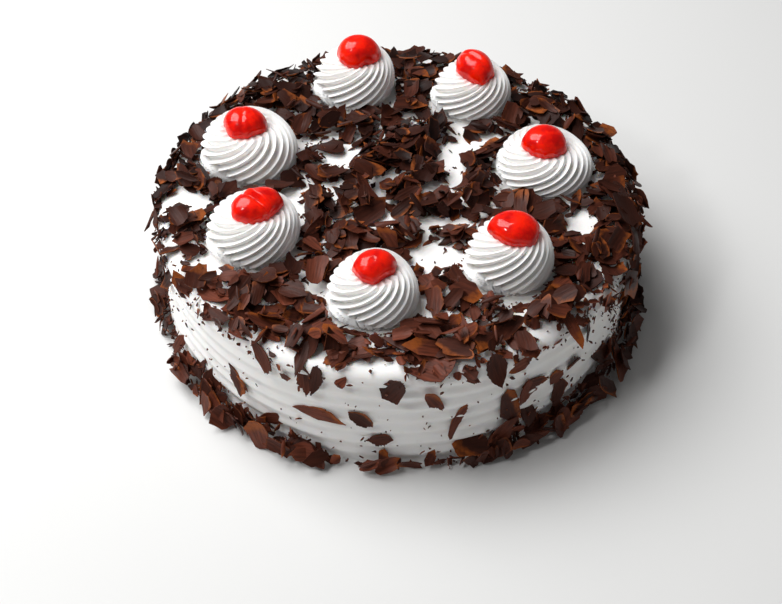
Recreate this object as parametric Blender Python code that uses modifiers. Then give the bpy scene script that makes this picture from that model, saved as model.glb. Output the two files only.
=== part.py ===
# A whole black forest cake: a round cake under whipped cream, with chocolate shavings over its top, rim,
# side and foot, and a ring of seven piped rosettes that each hold half a glace cherry.
# Blender 4.5, metres, +Z up.
# The origin is on the surface that the cake stands on, under the middle of the cake; -Y is the front.

import bmesh
import bpy
import math
import random
from mathutils import Matrix, Vector

MM = 0.001
TURN = 2 * math.pi

# The cream-covered cake. Its side was scraped with a toothed comb, which leaves level ridges.
CAKE_RADIUS = 115 * MM
CAKE_HEIGHT = 61 * MM
SHOULDER_RADIUS = 7 * MM
FOOT_TUCK = 1.2 * MM
COMB_RIDGES = 6
COMB_PITCH = 8 * MM
COMB_DEPTH = 1.4 * MM
CAKE_SIDES = 48
SHOULDER_STEPS = 3

# The outline of the cream from the middle of the top: along the flat, round the shoulder and down the side.
FLAT_RUN = CAKE_RADIUS - SHOULDER_RADIUS
SHOULDER_RUN = SHOULDER_RADIUS * math.pi / 2
SIDE_RUN = CAKE_HEIGHT - SHOULDER_RADIUS
WHOLE_RUN = FLAT_RUN + SHOULDER_RUN + SIDE_RUN

# Pieces that touch keep this gap.
GAP = 0.3 * MM

# Rosettes, piped through a star nozzle that was turned as it rose.
ROSETTE_TEETH = 18
ROSETTE_TWIST = math.radians(115)
# Share of the height, share of the radius and depth of the grooves, from the foot up to the cherry's seat.
ROSETTE_OUTLINE = (
    (0.00, 0.85, 0.03),
    (0.12, 0.97, 0.07),
    (0.32, 1.00, 0.11),
    (0.55, 0.95, 0.12),
    (0.77, 0.84, 0.12),
    (0.94, 0.68, 0.09),
)
SEAT_DEPTH = 1.4 * MM
SEAT_EDGE = 0.8 * MM
# Where each rosette stands: angle and distance round the cake, then radius and height to the cherry's seat,
# how far the seat leans to the right and to the back, and the cherry's width, depth, height and turn.
ROSETTES = {
    "back_left": (105, 87, 21.5, 20.5, 2.8, 0.8, 22.0, 20.0, 11.5, 10),
    "back_right": (63, 84, 20.5, 18.5, 1.8, 0.0, 18.0, 22.5, 11.0, 25),
    "right": (15, 75, 23.5, 16.5, -1.2, -0.5, 21.0, 20.0, 10.0, 0),
    "right_front": (-44, 70, 20.5, 23.0, 2.0, 0.0, 24.0, 19.5, 9.5, -10),
    "front": (-99, 70, 20.8, 19.5, 0.7, 0.5, 20.5, 18.0, 9.5, 35),
    "left_front": (-156, 74, 22.0, 20.0, 3.2, 0.5, 26.0, 17.0, 9.5, 30),
    "left_back": (158, 78, 24.0, 20.0, -1.8, 0.0, 22.0, 19.0, 9.5, -15),
}
CHERRY_SIDES = 12
CHERRY_RINGS = 7
CHERRY_BELLY = 0.8 * MM
CHERRY_LIFT = 0.75 * MM

# Chocolate shavings.
SHAVING_THICKNESS = 1.0 * MM
CHOSEN_CORNERS = 8
OTHER_CORNERS = 6
# How far a corner strays round the outline, and how far out it is, as shares of an even oval's.
CORNER_STRAY = 0.28
CORNER_REACH = (0.74, 1.12)
# How much a shaving's ends curl up, as a share of its length, and how much a chosen one leans to a side.
CURL_UP = (-0.04, 0.12)
CHOSEN_CURL_UP = (0.02, 0.12)
CHOSEN_ROLL = 8
# Those at the foot lie back on a slope between the side and the board, a little way out.
FOOT_HEIGHT = 14 * MM
FOOT_SLOPE = math.radians(48)
FOOT_OUTSET = 2 * MM
FOOT_CLEARANCE = 0.4 * MM
ROSETTE_CLEARANCE = 1.6 * MM
SHAVING_SEED = 12
CANDIDATES = 10
# The ones that stand out, put where they lie: distance along the cream's outline, angle round the cake,
# length, width, turn from downhill, and how far the leading end stands up.
CHOSEN_SHAVINGS = {
    "left_plate": (106, -142, 24, 13, 100, 10),
    "left_lobe": (100, -145, 14, 11, 0, 18),
    "left_point": (107, -153, 17, 8, 60, 24),
    "heap_broad": (95, -128, 22, 16, 105, 8),
    "heap_low": (104, -131, 21, 12, 95, 14),
    "heap_end": (98, -120, 18, 13, 60, -12),
    "front_plate": (101, -101, 18, 15, 116, 12),
    "front_lobe": (99, -93, 14, 11, 30, 22),
    "edge_wide": (117, -121, 20, 7, 43, 5),
    "edge_spindle": (111, -112, 20, 6, 5, 6),
    "edge_right": (118, -108, 19, 7, -5, 4),
    "rim_big": (109, -82, 22, 19, 56, 8),
    "rim_drip": (128, -82, 18, 7, 30, -5),
    "rim_plate": (95, -69, 18, 13, 80, 10),
    "rim_broad": (104, -62, 21, 15, 87, 9),
    "rim_hanging": (116, -68, 17, 12, 8, 0),
    "right_spike": (113, -47, 22, 7, -9, 6),
    "right_plate": (102, -34, 24, 15, 57, 8),
    "right_edge": (109, -26, 18, 13, -47, 12),
    "side_spindle": (142, -108, 27, 8, 90, 3),
    "side_curl": (141, -98, 13, 9, 59, 8),
    "side_long": (144, -64, 27, 12, 15, 4),
    "side_sliver": (145, -77, 23, 5, -23, 8),
    "side_notch": (135, -58, 14, 8, 87, 6),
    "side_left": (143, -129, 19, 8, 36, 8),
    "left_spike": (124, -158, 17, 8, -20, 20),
}
# The rest, by zone: how many, the stretch of the outline, the angles, the lengths, and the largest tilt.
SHAVING_ZONES = {
    "foot_left": (7, (157, 168), (-156, -112), (13, 22), 26),
    "foot_right": (13, (150, 168), (-74, -12), (13, 22), 28),
    "foot_front": (2, (164, 169), (-108, -78), (9, 13), 18),
    "foot_behind": (10, (160, 170), (-10, 196), (12, 20), 24),
    "rim": (42, (98, 121), (-180, 180), (11, 19), 26),
    "right": (12, (100, 140), (-62, 28), (13, 20), 22),
    "middle": (42, (6, 64), (-180, 180), (10, 18), 18),
    "ring": (12, (64, 100), (-180, 180), (8, 15), 16),
    "side": (9, (122, 158), (-180, 180), (8, 15), 14),
}
# Bare cream that shows between the shavings: angle and distance from the middle, and radius.
BARE_PATCHES = (
    (-69, 46, 14),
    (143, 38, 9),
    (172, 42, 9),
    (82, 57, 9),
    (43, 60, 6),
    (-52, 24, 7),
    (16, 17, 6),
    (-13, 89, 11),
    (-177, 102, 9),
    (-154, 104, 9),
    (-112, 112, 9),
    (-77, 82, 8),
    (-53, 92, 7),
    (82, 106, 8),
)


def remove_all_objects():
    for old in list(bpy.data.objects):
        bpy.data.objects.remove(old, do_unlink=True)


def new_collection(name):
    collection = bpy.data.collections.new(name)
    bpy.context.scene.collection.children.link(collection)
    return collection


def new_material(name, colour, roughness, subsurface=0.0):
    material = bpy.data.materials.new(name)
    material.use_nodes = True
    shader = material.node_tree.nodes["Principled BSDF"]
    shader.inputs["Base Color"].default_value = (*colour, 1.0)
    shader.inputs["Roughness"].default_value = roughness
    shader.inputs["Metallic"].default_value = 0.0
    shader.inputs["Subsurface Weight"].default_value = subsurface
    return material


def add_object(name, mesh, collection, material):
    obj = bpy.data.objects.new(name, mesh)
    collection.objects.link(obj)
    mesh.materials.append(material)
    return obj


def smooth(mesh, sharp_angle):
    mesh.shade_smooth()
    mesh.set_sharp_from_angle(angle=math.radians(sharp_angle))


def on_circle(angle_degrees, radius):
    angle = math.radians(angle_degrees)
    return Vector((radius * math.cos(angle), radius * math.sin(angle), 0.0))


def cream_outline():
    """The profile (radius, height) from the middle of the top down the side to the middle of the base."""
    points = [(0.0, CAKE_HEIGHT)]
    for step in range(SHOULDER_STEPS + 1):
        bend = step / SHOULDER_STEPS * math.pi / 2
        points.append(
            (
                FLAT_RUN + SHOULDER_RADIUS * math.sin(bend),
                CAKE_HEIGHT - SHOULDER_RADIUS * (1 - math.cos(bend)),
            )
        )
    first_groove = CAKE_HEIGHT - SHOULDER_RADIUS - COMB_PITCH / 4
    for ridge in range(COMB_RIDGES):
        groove_height = first_groove - ridge * COMB_PITCH
        points.append((CAKE_RADIUS - COMB_DEPTH, groove_height))
        points.append((CAKE_RADIUS, groove_height - COMB_PITCH / 2))
    points.append((CAKE_RADIUS - FOOT_TUCK, 0.0))
    points.append((0.0, 0.0))
    return points


def cream_body(collection, material):
    outline = cream_outline()
    mesh = bpy.data.meshes.new("cake")
    mesh.from_pydata(
        [(radius, 0.0, height) for radius, height in outline],
        [(i, i + 1) for i in range(len(outline) - 1)],
        [],
    )
    cake = add_object("cake", mesh, collection, material)
    turned = cake.modifiers.new("turned", "SCREW")
    turned.steps = turned.render_steps = CAKE_SIDES
    turned.use_merge_vertices = True
    turned.merge_threshold = 0.00001
    return cake


def place_on_cream(along, angle_degrees):
    """Point, outward normal and downhill direction where the outline has run `along` from the middle."""
    out = on_circle(angle_degrees, 1.0)
    if along <= FLAT_RUN:
        bend = 0.0
        point = out * along + Vector((0, 0, CAKE_HEIGHT))
    elif along <= FLAT_RUN + SHOULDER_RUN:
        bend = (along - FLAT_RUN) / SHOULDER_RADIUS
        point = out * (FLAT_RUN + SHOULDER_RADIUS * math.sin(bend))
        point.z = CAKE_HEIGHT - SHOULDER_RADIUS * (1 - math.cos(bend))
    else:
        bend = math.pi / 2
        point = out * CAKE_RADIUS
        point.z = WHOLE_RUN - along
    up = Vector((0, 0, 1))
    normal = out * math.sin(bend) + up * math.cos(bend)
    downhill = out * math.cos(bend) - up * math.sin(bend)
    return point, normal, downhill


def shaving_corners(draw, count, length, width):
    """A broken plate's outline: a rough oval whose corners are pushed in and out."""
    corners = []
    for corner in range(count):
        around = TURN * (corner + draw.uniform(-CORNER_STRAY, CORNER_STRAY)) / count
        reach = draw.uniform(*CORNER_REACH)
        corners.append((0.5 * length * reach * math.cos(around), 0.5 * width * reach * math.sin(around)))
    return corners


def shaving_frame(along, angle_degrees, spin_degrees, tip_degrees, roll_degrees):
    """The shaving's own axes on the cream: X along its length, Z away from the cream."""
    point, normal, downhill = place_on_cream(along, angle_degrees)
    if along > WHOLE_RUN - FOOT_HEIGHT:
        out = normal
        up = -downhill
        normal = out * math.cos(FOOT_SLOPE) + up * math.sin(FOOT_SLOPE)
        downhill = out * math.sin(FOOT_SLOPE) - up * math.cos(FOOT_SLOPE)
        point = point + out * FOOT_OUTSET
    across = normal.cross(downhill)
    frame = Matrix((downhill, across, normal)).transposed().to_4x4()
    turned = (
        frame
        @ Matrix.Rotation(math.radians(spin_degrees), 4, "Z")
        @ Matrix.Rotation(math.radians(-tip_degrees), 4, "Y")
        @ Matrix.Rotation(math.radians(roll_degrees), 4, "X")
    )
    return Matrix.Translation(point) @ turned


def shaving_points(matrix, corners, length, cup):
    """World points of a shaving: its corners, then its middle. It is bent up along its length by `cup`."""
    local = [Vector((u, v, cup * (2 * u / length) ** 2)) for u, v in corners]
    local.append(Vector((0.0, 0.0, 0.0)))
    return [matrix @ point for point in local]


def clear_of_rosettes(points):
    for angle, distance, radius, *_ in ROSETTES.values():
        middle = on_circle(angle, distance * MM)
        keep_out = radius * MM + ROSETTE_CLEARANCE
        for point in points:
            if (point.to_2d() - middle.to_2d()).length < keep_out:
                return False
    return True


def in_bare_patch(point):
    return point.z > CAKE_HEIGHT - SHOULDER_RADIUS and any(
        (point.to_2d() - on_circle(angle, distance * MM).to_2d()).length < radius * MM
        for angle, distance, radius in BARE_PATCHES
    )


def lift_off_board(points):
    """Raises a shaving that would reach below the surface that the cake stands on."""
    lowest = min(point.z for point in points)
    raise_by = max(0.0, FOOT_CLEARANCE + SHAVING_THICKNESS / 2 - lowest)
    return [point + Vector((0, 0, raise_by)) for point in points]


def chosen_shavings(draw):
    for along, angle, length, width, spin, tip in CHOSEN_SHAVINGS.values():
        matrix = shaving_frame(along * MM, angle, spin, tip, draw.uniform(-CHOSEN_ROLL, CHOSEN_ROLL))
        corners = shaving_corners(draw, CHOSEN_CORNERS, length * MM, width * MM)
        cup = draw.uniform(*CHOSEN_CURL_UP) * length * MM
        yield shaving_points(matrix, corners, length * MM, cup)


def zone_shavings(draw):
    """The rest: each is the best of a few seeded tries, the one farthest from those already there."""
    for count, run, angles, lengths, most_tilt in SHAVING_ZONES.values():
        middles = []
        for _ in range(count):
            tries = []
            while len(tries) < CANDIDATES:
                # The square root spreads them evenly over the disc of the top.
                share = draw.random()
                inner, outer = run
                along = math.sqrt(inner**2 + share * (outer**2 - inner**2)) * MM
                angle = draw.uniform(*angles)
                point, _normal, _downhill = place_on_cream(along, angle)
                if in_bare_patch(point):
                    continue
                room = min(((point - other).length for other in middles), default=1.0)
                tries.append((room, along, angle, point))
            room, along, angle, point = max(tries, key=lambda found: found[0])
            middles.append(point)
            length = draw.uniform(*lengths) * MM
            width = length * draw.uniform(0.45, 0.85)
            matrix = shaving_frame(
                along,
                angle,
                draw.uniform(0, 360),
                draw.uniform(-most_tilt, most_tilt),
                draw.uniform(-most_tilt, most_tilt),
            )
            corners = shaving_corners(draw, OTHER_CORNERS, length, width)
            cup = draw.uniform(*CURL_UP) * length
            yield shaving_points(matrix, corners, length, cup)


def shaving_mesh(name, points):
    """A fan of faces from the middle to the corners. Solidify gives it its thickness."""
    mesh = bpy.data.meshes.new(name)
    middle = len(points) - 1
    faces = [(middle, i, (i + 1) % middle) for i in range(middle)]
    mesh.from_pydata(points, [], faces)
    return mesh


def all_shavings(collection, material):
    draw = random.Random(SHAVING_SEED)
    number = 0
    for source in (chosen_shavings, zone_shavings):
        for points in source(draw):
            points = lift_off_board(points)
            if not clear_of_rosettes(points):
                continue
            name = f"shaving_{number:03d}"
            shaving = add_object(name, shaving_mesh(name, points), collection, material)
            thick = shaving.modifiers.new("thick", "SOLIDIFY")
            thick.thickness = SHAVING_THICKNESS
            thick.offset = 0.0
            number += 1


def keep_outer_skin(mesh):
    """Fills the hollows that the union sealed and drops scraps: only the largest connected skin is kept."""
    skins = []
    work = bmesh.new()
    work.from_mesh(mesh)
    unseen = set(work.verts)
    while unseen:
        skin = {unseen.pop()}
        edge_of_search = list(skin)
        while edge_of_search:
            vert = edge_of_search.pop()
            for edge in vert.link_edges:
                other = edge.other_vert(vert)
                if other in unseen:
                    unseen.remove(other)
                    skin.add(other)
                    edge_of_search.append(other)
        skins.append(skin)
    skins.sort(key=len, reverse=True)
    for skin in skins[1:]:
        bmesh.ops.delete(work, geom=list(skin), context="VERTS")
    work.to_mesh(mesh)
    work.free()


def cake_with_shavings(collection, cream, chocolate):
    cake = cream_body(collection, cream)
    cake.data.materials.append(chocolate)
    shavings = new_collection("shavings")
    all_shavings(shavings, chocolate)
    joined = cake.modifiers.new("joined", "BOOLEAN")
    joined.operation = "UNION"
    joined.operand_type = "COLLECTION"
    joined.collection = shavings
    graph = bpy.context.evaluated_depsgraph_get()
    fused = bpy.data.meshes.new_from_object(cake.evaluated_get(graph))
    cake.modifiers.clear()
    cake.data = fused
    for shaving in list(shavings.objects):
        bpy.data.objects.remove(shaving, do_unlink=True)
    bpy.data.collections.remove(shavings)
    keep_outer_skin(fused)
    smooth(fused, 35)
    return cake


def rosette(name, row, collection, material):
    """A loft of star sections, each turned a little from the one below, with a shallow seat on top."""
    angle, distance, radius, height, lean_right, lean_back, cherry_width, cherry_depth = row[:8]
    foot = on_circle(angle, distance * MM) + Vector((0, 0, CAKE_HEIGHT + GAP))
    lean = Vector((lean_right, lean_back, 0.0)) * MM
    work = bmesh.new()
    rings = []

    def add_ring(up, radii, twist):
        ring = []
        for point in range(2 * ROSETTE_TEETH):
            around = twist + TURN * point / (2 * ROSETTE_TEETH)
            reach = radii[point % 2]
            place = foot + lean * up**2
            place += Vector((reach * math.cos(around), reach * math.sin(around), up * height * MM))
            ring.append(work.verts.new(place))
        rings.append(ring)

    for up, out, groove in ROSETTE_OUTLINE:
        crest = out * radius * MM
        add_ring(up, (crest, crest * (1 - groove)), ROSETTE_TWIST * up)
    rim = 0.25 * (cherry_width + cherry_depth) * MM + SEAT_EDGE
    add_ring(1.0, (rim, rim), ROSETTE_TWIST)
    for lower, upper in zip(rings, rings[1:]):
        for i in range(len(lower)):
            j = (i + 1) % len(lower)
            work.faces.new((lower[i], lower[j], upper[j], upper[i]))
    work.faces.new(reversed(rings[0]))
    middle = work.verts.new(foot + lean + Vector((0, 0, height * MM - SEAT_DEPTH)))
    for i in range(len(rings[-1])):
        work.faces.new((rings[-1][i], rings[-1][(i + 1) % len(rings[-1])], middle))
    mesh = bpy.data.meshes.new(f"rosette_{name}")
    work.to_mesh(mesh)
    work.free()
    smooth(mesh, 60)
    return add_object(f"rosette_{name}", mesh, collection, material)


def cherry(name, row, collection, material):
    """Half a glace cherry, cut side down: a dome over a shallow belly that lies in the rosette's seat."""
    angle, distance, _radius, height, lean_right, lean_back, width, depth, dome, turn = row
    work = bmesh.new()
    bmesh.ops.create_uvsphere(work, u_segments=CHERRY_SIDES, v_segments=CHERRY_RINGS, radius=1.0)
    for vert in work.verts:
        tall = dome * MM if vert.co.z > 0 else CHERRY_BELLY
        vert.co = Vector((vert.co.x * width * MM / 2, vert.co.y * depth * MM / 2, vert.co.z * tall))
    mesh = bpy.data.meshes.new(f"cherry_{name}")
    work.to_mesh(mesh)
    work.free()
    smooth(mesh, 60)
    half = add_object(f"cherry_{name}", mesh, collection, material)
    half.location = on_circle(angle, distance * MM) + Vector((lean_right, lean_back, 0.0)) * MM
    half.location.z = CAKE_HEIGHT + GAP + height * MM + CHERRY_LIFT
    half.rotation_euler = (0.0, 0.0, math.radians(turn))
    return half


def main():
    remove_all_objects()
    collection = new_collection("black_forest_cake")
    cream = new_material("whipped_cream", (0.92, 0.91, 0.89), 0.55, subsurface=0.1)
    chocolate = new_material("dark_chocolate", (0.05, 0.021, 0.013), 0.45)
    glace = new_material("glace_cherry", (0.75, 0.01, 0.006), 0.12)
    cake_with_shavings(collection, cream, chocolate)
    for name, row in ROSETTES.items():
        rosette(name, row, collection, cream)
        cherry(name, row, collection, glace)


main()
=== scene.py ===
# %% [markdown]
# A black forest cake, whole and uncut. Under the whipped cream the real cake is layers of chocolate sponge,
# but none of that shows. What shows is cream combed round the side, dark chocolate shavings strewn over the
# top, rim and foot, and a ring of piped rosettes that each hold half a glace cherry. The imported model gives
# the true places and sizes, and this lesson gives every surface its real form and finish. Lengths are in
# metres.

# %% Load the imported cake
import math
import random

import bpy
import numpy as np
from mathutils import Matrix, Vector
from mathutils import noise


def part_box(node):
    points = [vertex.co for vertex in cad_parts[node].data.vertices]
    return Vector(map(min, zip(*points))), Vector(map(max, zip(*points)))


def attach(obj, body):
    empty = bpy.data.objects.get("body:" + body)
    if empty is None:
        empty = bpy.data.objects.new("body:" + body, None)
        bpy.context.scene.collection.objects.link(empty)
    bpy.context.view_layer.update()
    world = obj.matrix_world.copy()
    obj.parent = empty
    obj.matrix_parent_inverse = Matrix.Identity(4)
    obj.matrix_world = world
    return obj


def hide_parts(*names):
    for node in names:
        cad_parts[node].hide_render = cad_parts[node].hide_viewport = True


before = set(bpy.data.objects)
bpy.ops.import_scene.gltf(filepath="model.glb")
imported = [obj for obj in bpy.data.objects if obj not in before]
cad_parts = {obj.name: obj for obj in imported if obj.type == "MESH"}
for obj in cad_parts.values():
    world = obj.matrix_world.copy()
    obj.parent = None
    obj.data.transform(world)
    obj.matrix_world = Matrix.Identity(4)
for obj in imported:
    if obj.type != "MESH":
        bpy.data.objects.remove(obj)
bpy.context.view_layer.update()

# %% [markdown]
# Colours are picked as sRGB hex values, as a picture shows them, but a shader works in linear light, so one
# function turns them. Another adds a shader node with its settings, values and links in a single call,
# which keeps each material short enough to read from top to bottom.

# %% Small helpers
MM = 0.001
TURN = 2 * math.pi


def linear(hex_colour):
    """The linear colour of an sRGB hex value, with alpha."""
    channels = [int(hex_colour[i : i + 2], 16) / 255 for i in (1, 3, 5)]
    return tuple(c / 12.92 if c <= 0.04045 else ((c + 0.055) / 1.055) ** 2.4 for c in channels) + (1.0,)


def feed(tree, node, inputs):
    """Sets a node's inputs. A value is a number, a colour, or the output socket that feeds the input."""
    for socket, value in inputs.items():
        if isinstance(value, bpy.types.NodeSocket):
            tree.links.new(value, node.inputs[socket])
        else:
            node.inputs[socket].default_value = value


def add_node(tree, kind, inputs, **settings):
    """Adds a node with its settings and its inputs."""
    node = tree.nodes.new(kind)
    for setting, value in settings.items():
        setattr(node, setting, value)
    feed(tree, node, inputs)
    return node


def new_material(name):
    """A material, its node tree and its Principled shader."""
    material = bpy.data.materials.new(name)
    material.use_nodes = True
    return material, material.node_tree, material.node_tree.nodes["Principled BSDF"]


def new_piece(name, points, faces, material, sharp_from, attributes=()):
    """A piece of the cake, smooth but for edges sharper than sharp_from degrees. Faces have three or four
    sides, and each attribute is a name and one number, or three, for each point."""
    mesh = bpy.data.meshes.new(name)
    mesh.from_pydata(points.tolist(), [], faces)
    for attribute, values in attributes:
        values = np.asarray(values, dtype=np.float32)
        vector = values.ndim == 2
        stored = mesh.attributes.new(attribute, "FLOAT_VECTOR" if vector else "FLOAT", "POINT")
        stored.data.foreach_set("vector" if vector else "value", values.ravel())
    mesh.shade_smooth()
    mesh.set_sharp_from_angle(angle=math.radians(sharp_from))
    mesh.materials.append(material)
    piece = bpy.data.objects.new(name, mesh)
    bpy.context.scene.collection.objects.link(piece)
    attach(piece, "root")
    print(f"{name}: {len(mesh.vertices)} points, {len(mesh.polygons)} faces")
    return piece


# %% [markdown]
# The photograph looks down on the cake from in front, at about 46 degrees. A camera fitted to the outlines
# of the cake's top and foot stands half a metre in front and half a metre up, so the camera is put there.

# %% Camera
CAMERA_PLACE = Vector((-2.9, -502.1, 516.5)) * MM
CAMERA_ELEVATION = math.radians(46.5)
PICTURE_WIDTH_PIXELS = 782
FOCAL_PIXELS = 1400
SENSOR_WIDTH_MM = 36

camera_data = bpy.data.cameras.new("camera")
camera_data.sensor_width = SENSOR_WIDTH_MM
camera_data.lens = FOCAL_PIXELS / PICTURE_WIDTH_PIXELS * SENSOR_WIDTH_MM
camera = bpy.data.objects.new("camera", camera_data)
camera.location = CAMERA_PLACE
camera.rotation_euler = (math.pi / 2 - CAMERA_ELEVATION, 0, 0)
bpy.context.scene.collection.objects.link(camera)
bpy.context.scene.camera = camera
print("camera lens, mm:", round(camera_data.lens, 1))

# %% [markdown]
# Food on white is lit by one large softbox overhead. Here it hangs to the left and a little behind the
# cake, so the top burns out to white, the front of the side falls into grey shade, and every ridge of cream
# has a light and a dark flank. A small weak lamp in front, to the left, gives the cherries a sharp glint.
# The pale room is the world's even light.

# %% Floor and light
SOFTBOX = {"direction": (-0.50, 0.26, 0.83), "distance": 1.3, "size": 1.0, "watts": 23.5}
LAMP = {"direction": (-0.53, -0.38, 0.76), "distance": 1.1, "size": 0.15, "watts": 2.2}
ROOM_STRENGTH = 0.145
FLOOR_SIZE = 6.0

paper, tree, shader = new_material("white_backdrop_paper")
feed(tree, shader, {"Base Color": linear("#DDDDDC"), "Roughness": 0.9})

floor_mesh = bpy.data.meshes.new("floor")
half = FLOOR_SIZE / 2
floor_corners = [(-half, -half, 0), (half, -half, 0), (half, half, 0), (-half, half, 0)]
floor_mesh.from_pydata(floor_corners, [], [(0, 1, 2, 3)])
floor_mesh.materials.append(paper)
floor = bpy.data.objects.new("floor", floor_mesh)
bpy.context.scene.collection.objects.link(floor)


def hang_light(name, direction, distance, size, watts):
    """A square light that hangs in a direction from the cake and faces it."""
    data = bpy.data.lights.new(name, "AREA")
    data.size = size
    data.energy = watts
    light = bpy.data.objects.new(name, data)
    light.location = Vector(direction).normalized() * distance
    light.rotation_euler = Vector(direction).to_track_quat("Z", "Y").to_euler()
    bpy.context.scene.collection.objects.link(light)
    print(name, "at", tuple(round(value, 2) for value in light.location))


hang_light("softbox", **SOFTBOX)
hang_light("lamp", **LAMP)

room = bpy.data.worlds.new("pale_room")
room.use_nodes = True
background = room.node_tree.nodes["Background"]
feed(room.node_tree, background, {"Color": (1.0, 1.0, 1.0, 1.0), "Strength": ROOM_STRENGTH})
bpy.context.scene.world = room
# The standard view keeps whites white and reds red, as the photograph has them.
bpy.context.scene.view_settings.view_transform = "Standard"
print("room strength:", ROOM_STRENGTH)

# %% [markdown]
# Whipped cream is a foam of fat and air: nearly pure white, with a satin surface, and light travels a few
# millimetres through it, so its shadows are soft and warm at the edges. A Principled shader with subsurface
# does that. Its surface was smoothed with a spatula and a comb, which leaves marks a fraction of a
# millimetre deep, and cocoa dust from the shavings tints it here and there.

# %% Whipped cream, smoothed with a spatula
SMEAR_SIZE = 9 * MM
DUST_SIZE = 4 * MM
BUBBLE_SIZE = 0.8 * MM
BUBBLE_DEPTH = 0.1 * MM
FOAM_IOR = 1.40
FOAM_SUBSURFACE = (1.0, 0.8, 0.65)

cream_smooth, tree, shader = new_material("whipped_cream_smoothed")
place = add_node(tree, "ShaderNodeNewGeometry", {}).outputs["Position"]
smears = add_node(tree, "ShaderNodeTexNoise", {"Vector": place, "Scale": 1 / SMEAR_SIZE, "Detail": 3.0})
bubbles = add_node(tree, "ShaderNodeTexNoise", {"Vector": place, "Scale": 1 / BUBBLE_SIZE, "Detail": 2.0})
speckles = {"Vector": place, "Scale": 1 / DUST_SIZE, "Detail": 6.0, "Roughness": 0.7}
dust = add_node(tree, "ShaderNodeTexNoise", speckles)
here_and_there = {"Value": dust.outputs["Fac"], "From Min": 0.60, "From Max": 0.80, "To Max": 0.30}
dusted = add_node(tree, "ShaderNodeMapRange", here_and_there)
colours = {"Factor": dusted.outputs["Result"], "A": linear("#F7F5F3"), "B": linear("#D9C6B8")}
tint = add_node(tree, "ShaderNodeMix", colours, data_type="RGBA")
sheen = {"Value": smears.outputs["Fac"], "To Min": 0.45, "To Max": 0.62}
satin = add_node(tree, "ShaderNodeMapRange", sheen)
marks = {"Height": smears.outputs["Fac"], "Strength": 0.35, "Distance": 0.5 * MM}
smear_bump = add_node(tree, "ShaderNodeBump", marks).outputs["Normal"]
foam = {"Height": bubbles.outputs["Fac"], "Normal": smear_bump, "Strength": 0.25, "Distance": BUBBLE_DEPTH}
surface = {
    "Base Color": tint.outputs["Result"],
    "Roughness": satin.outputs["Result"],
    "Normal": add_node(tree, "ShaderNodeBump", foam).outputs["Normal"],
    "IOR": FOAM_IOR,
    "Subsurface Weight": 0.35,
    "Subsurface Radius": FOAM_SUBSURFACE,
    "Subsurface Scale": 2.5 * MM,
}
feed(tree, shader, surface)
print("material:", cream_smooth.name)

# %% [markdown]
# The piped cream is the same foam, but no tool has touched it, so it has no smears or dust. The cherries'
# syrup has bled into it round their edges. How far it has bled is worked out on each point of a rosette's
# mesh, as an attribute named juice, and the material only turns that into pink.

# %% Whipped cream, piped
STAIN_GRAIN = 3 * MM

cream_piped, tree, shader = new_material("whipped_cream_piped")
place = add_node(tree, "ShaderNodeNewGeometry", {}).outputs["Position"]
juice = add_node(tree, "ShaderNodeAttribute", {}, attribute_name="juice").outputs["Fac"]
patchy = add_node(tree, "ShaderNodeTexNoise", {"Vector": place, "Scale": 1 / STAIN_GRAIN, "Detail": 3.0})
bled = add_node(tree, "ShaderNodeMath", {0: juice, 1: patchy.outputs["Fac"]}, operation="MULTIPLY")
colours = {"Factor": bled.outputs["Value"], "A": linear("#F8F7F5"), "B": linear("#F0604F")}
tint = add_node(tree, "ShaderNodeMix", colours, data_type="RGBA")
bubbles = add_node(tree, "ShaderNodeTexNoise", {"Vector": place, "Scale": 1 / BUBBLE_SIZE, "Detail": 2.0})
foam = {"Height": bubbles.outputs["Fac"], "Strength": 0.2, "Distance": BUBBLE_DEPTH}
surface = {
    "Base Color": tint.outputs["Result"],
    "Roughness": 0.5,
    "Normal": add_node(tree, "ShaderNodeBump", foam).outputs["Normal"],
    "IOR": FOAM_IOR,
    "Subsurface Weight": 0.3,
    "Subsurface Radius": FOAM_SUBSURFACE,
    "Subsurface Scale": 1.8 * MM,
}
feed(tree, shader, surface)
print("material:", cream_piped.name)

# %% [markdown]
# Dark chocolate that was shaved from a block with a blade: the faces are dull with fine scraper lines along
# the shaving. The thin broken edges let light through, and that light is painted into the colour as an
# orange-brown glow. Three attributes carry this from the mesh: one is 1 where the glow is painted, tone
# tells one shaving from the next and also carries painted light that makes the shavings at the front rim
# lighter, and grain holds the shaving's own length and width, so that its lines run along it whichever way
# it lies.

# %% Dark chocolate, shaved
# Scraper lines are about 0.6 mm apart on the block; they are drawn at 1.2 mm so that the render shows them.
LINE_SPACING = 1.2 * MM
# Along the shaving the pattern is drawn out, to this share of its scale across.
LINE_STRETCH = 0.12
MOTTLE_SIZE = 2.5 * MM

chocolate, tree, shader = new_material("dark_chocolate_shaved")
thin = add_node(tree, "ShaderNodeAttribute", {}, attribute_name="thin").outputs["Fac"]
tone = add_node(tree, "ShaderNodeAttribute", {}, attribute_name="tone").outputs["Fac"]
grain = add_node(tree, "ShaderNodeAttribute", {}, attribute_name="grain").outputs["Vector"]
line_scale = (LINE_STRETCH / LINE_SPACING, 1 / LINE_SPACING, 1 / LINE_SPACING)
stretched = add_node(tree, "ShaderNodeMapping", {"Vector": grain, "Scale": line_scale}).outputs["Vector"]
scraper = {"Vector": stretched, "Scale": 1.0, "Detail": 3.0}
lines = add_node(tree, "ShaderNodeTexNoise", scraper).outputs["Fac"]
cloudy = {"Vector": grain, "Scale": 1 / MOTTLE_SIZE, "Detail": 4.0, "Roughness": 0.6}
mottle = add_node(tree, "ShaderNodeTexNoise", cloudy).outputs["Fac"]
colours = {"Factor": tone, "A": linear("#160A08"), "B": linear("#723A29")}
body_colour = add_node(tree, "ShaderNodeMix", colours, data_type="RGBA").outputs["Result"]
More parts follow.
